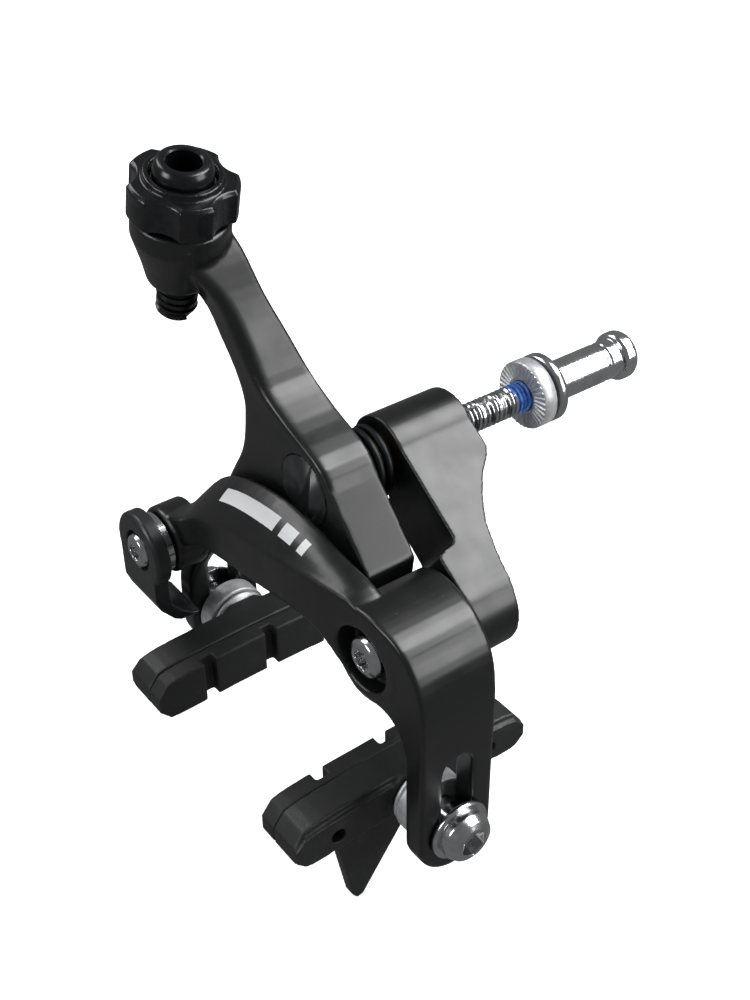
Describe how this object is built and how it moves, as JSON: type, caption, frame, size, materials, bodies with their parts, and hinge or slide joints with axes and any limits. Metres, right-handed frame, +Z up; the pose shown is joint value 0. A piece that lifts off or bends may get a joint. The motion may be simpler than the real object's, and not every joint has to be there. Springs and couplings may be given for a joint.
{
  "type": "rim brake caliper",
  "caption": "Dual-pivot side-pull rim brake caliper with two arms on a rear bridge, brake shoes in slotted legs, a cable adjuster and a quick release.",
  "frame": {"origin": "on the centre bolt axis, at the bridge's rear face that seats on the fork", "axes": "+Y rearwards along the centre bolt, +X to the right seen from the front of the bicycle, +Z up"},
  "size_m": [0.091, 0.1009, 0.1302],
  "materials": {
    "arm_black": "satin black",
    "lever_black": "semi-matt black",
    "adjuster_black": "semi-gloss black",
    "bright_steel": "polished",
    "nut_chrome": "polished",
    "zinc_grey": "dull zinc plate",
    "spring_steel": "bright wire",
    "bronze": "machined",
    "seat_plastic": "moulded",
    "shoe_holder": "moulded, slightly worn",
    "pad_rubber": "moulded rubber"
  },
  "bodies": {
    "bridge": {"rear_bridge": "arm_black", "centre_bolt": "bright_steel", "centre_nut": "bright_steel", "centre_spacer": "bronze", "side_pivot_bolt": "bright_steel", "side_pivot_washer": "bright_steel", "serrated_washer": "zinc_grey", "plain_washer": "bright_steel", "sleeve_nut": "nut_chrome"},
    "y_arm": {"y_arm": "arm_black", "centre_bush": "bronze", "pivot_cap": "seat_plastic", "return_spring": "spring_steel", "spring_seat": "seat_plastic"},
    "knob": {"adjuster_knob": "adjuster_black"},
    "barrel": {"adjuster_barrel": "adjuster_black"},
    "c_arm": {"c_arm": "arm_black", "side_bush": "bronze", "centring_screw": "bright_steel"},
    "quick_release": {"release_lever": "lever_black", "anchor_bolt": "bright_steel", "cable_clamp": "bright_steel", "anchor_nut": "bright_steel"},
    "left_shoe": {"left_holder": "shoe_holder", "left_rubber": "pad_rubber", "left_bolt": "bright_steel", "left_bolt_washer": "bright_steel", "left_domed_washer": "zinc_grey", "left_cup_washer": "zinc_grey"},
    "right_shoe": {"right_holder": "shoe_holder", "right_rubber": "pad_rubber", "right_bolt": "bright_steel", "right_bolt_washer": "bright_steel", "right_domed_washer": "zinc_grey", "right_cup_washer": "zinc_grey"}
  },
  "joints": [
    {"name": "centre_pivot", "type": "hinge", "parent": "bridge", "child": "y_arm", "pos_m": [0, -0.027, 0], "axis": [0, 1, 0], "range_deg": [-9, 0], "stiffness_Nm_per_rad": 2, "springref_deg": 10.03},
    {"name": "side_pivot", "type": "hinge", "parent": "bridge", "child": "c_arm", "pos_m": [0.025, -0.028, -0.018], "axis": [0, 1, 0], "range_deg": [0, 14]},
    {"name": "adjuster_turn", "type": "hinge", "parent": "y_arm", "child": "knob", "pos_m": [-0.02525, -0.0371, 0.04732], "axis": [0.2504, 0, 0.9681], "range_deg": [0, 2160]},
    {"name": "barrel_lift", "type": "slide", "parent": "y_arm", "child": "barrel", "axis": [0.2504, 0, 0.9681], "range_m": [0, 0.006]},
    {"name": "release_turn", "type": "hinge", "parent": "c_arm", "child": "quick_release", "pos_m": [-0.0365, -0.0395, -0.0285], "axis": [0, 1, 0], "range_deg": [0, 90]},
    {"name": "left_shoe_height", "type": "slide", "parent": "y_arm", "child": "left_shoe", "axis": [0, 0, 1], "range_m": [0, 0.0085]},
    {"name": "right_shoe_height", "type": "slide", "parent": "c_arm", "child": "right_shoe", "axis": [0, 0, 1], "range_m": [0, 0.0125]}
  ],
  "couplings": [
    {"joint": "side_pivot", "follows": "centre_pivot", "ratio": -1.5},
    {"joint": "adjuster_turn", "follows": "barrel_lift", "rad_per_m": 6283.2}
  ]
}
